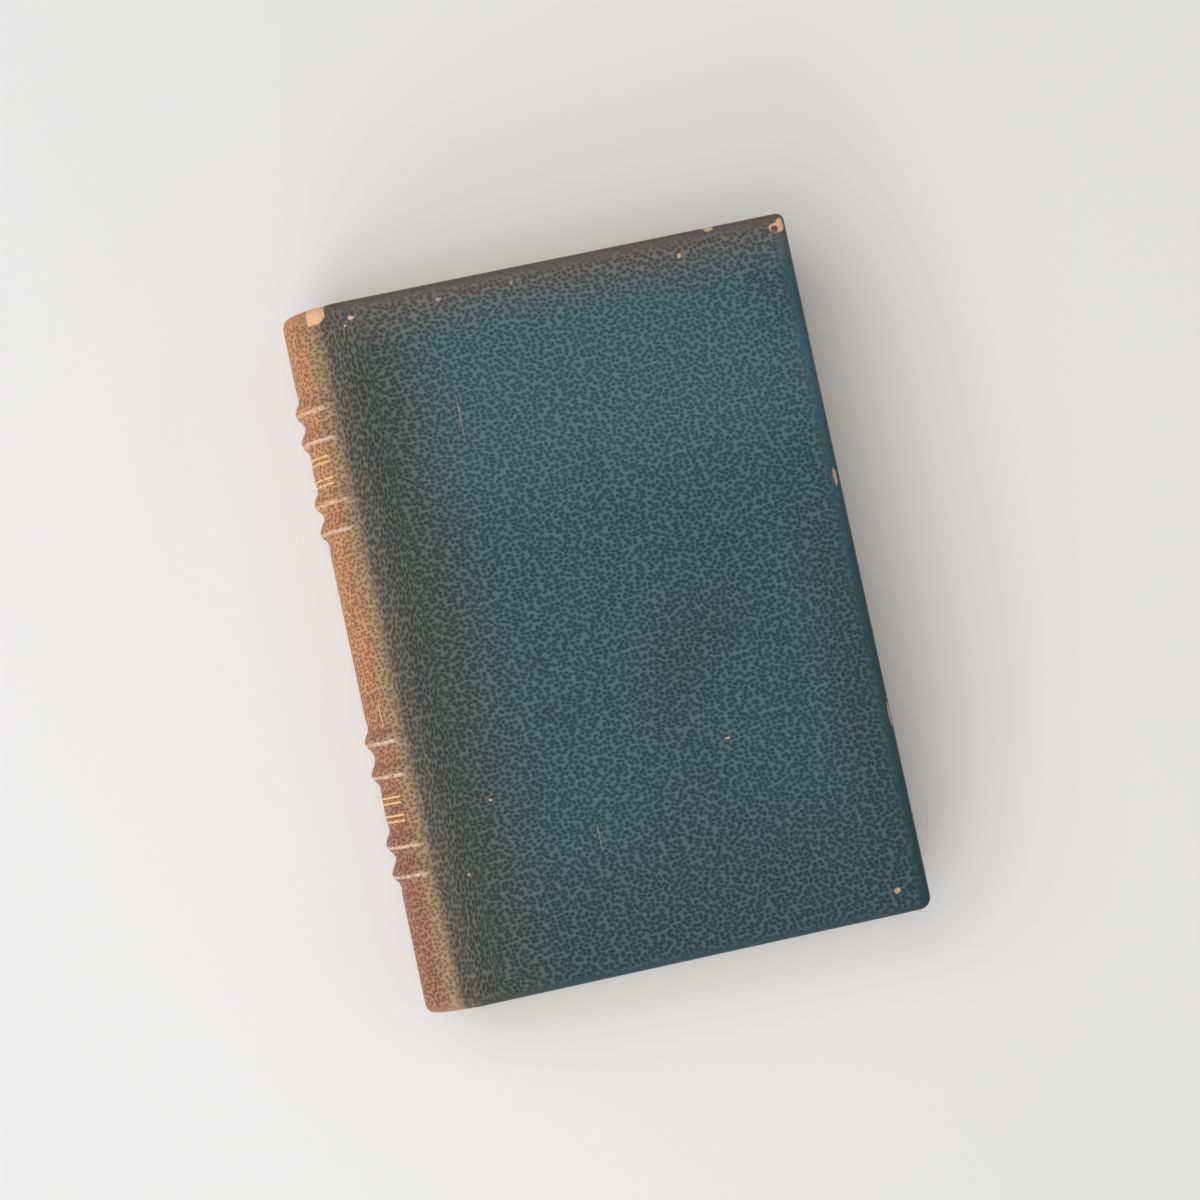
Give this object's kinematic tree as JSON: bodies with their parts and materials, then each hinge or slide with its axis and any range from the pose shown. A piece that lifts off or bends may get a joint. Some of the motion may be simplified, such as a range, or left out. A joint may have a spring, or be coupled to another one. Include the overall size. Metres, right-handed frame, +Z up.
{
  "type": "antique leather book",
  "caption": "Closed antique book in full goatskin, with a rounded spine, raised bands and two covers that open.",
  "frame": {"origin": "middle of the book's box, on the plane that its back cover lies on", "axes": "+X from the spine to the fore-edge, +Y from the tail to the head, +Z up from the back cover to the front cover"},
  "size_m": [0.1458, 0.2, 0.036],
  "materials": {
    "morocco_teal": "matte",
    "morocco_tan": "satin",
    "page_edges": "matte",
    "endpaper": "matte",
    "millboard": "matte",
    "mull": "matte",
    "silk": "satin",
    "hemp_cord": "matte"
  },
  "bodies": {
    "book_block": {"text_block": "page_edges", "spine_lining": "mull", "head_endband": "silk", "tail_endband": "silk", "spine_leather": "morocco_tan", "front_flyleaf": "endpaper", "back_flyleaf": "endpaper", "raised_band_1": "hemp_cord", "raised_band_2": "hemp_cord", "raised_band_3": "hemp_cord", "raised_band_4": "hemp_cord", "raised_band_5": "hemp_cord", "raised_band_6": "hemp_cord", "raised_band_7": "hemp_cord", "raised_band_8": "hemp_cord"},
    "front_cover": {"front_board": "millboard", "front_leather": "morocco_teal", "front_pastedown": "endpaper"},
    "back_cover": {"back_board": "millboard", "back_leather": "morocco_teal", "back_pastedown": "endpaper"}
  },
  "joints": [
    {"name": "front_cover_hinge", "type": "hinge", "parent": "book_block", "child": "front_cover", "pos_m": [-0.05905, 0, 0.0356], "axis": [0, -1, 0], "range_deg": [0, 180]},
    {"name": "back_cover_hinge", "type": "hinge", "parent": "book_block", "child": "back_cover", "pos_m": [-0.05905, 0, 0.0004], "axis": [0, 1, 0], "range_deg": [0, 180]}
  ]
}
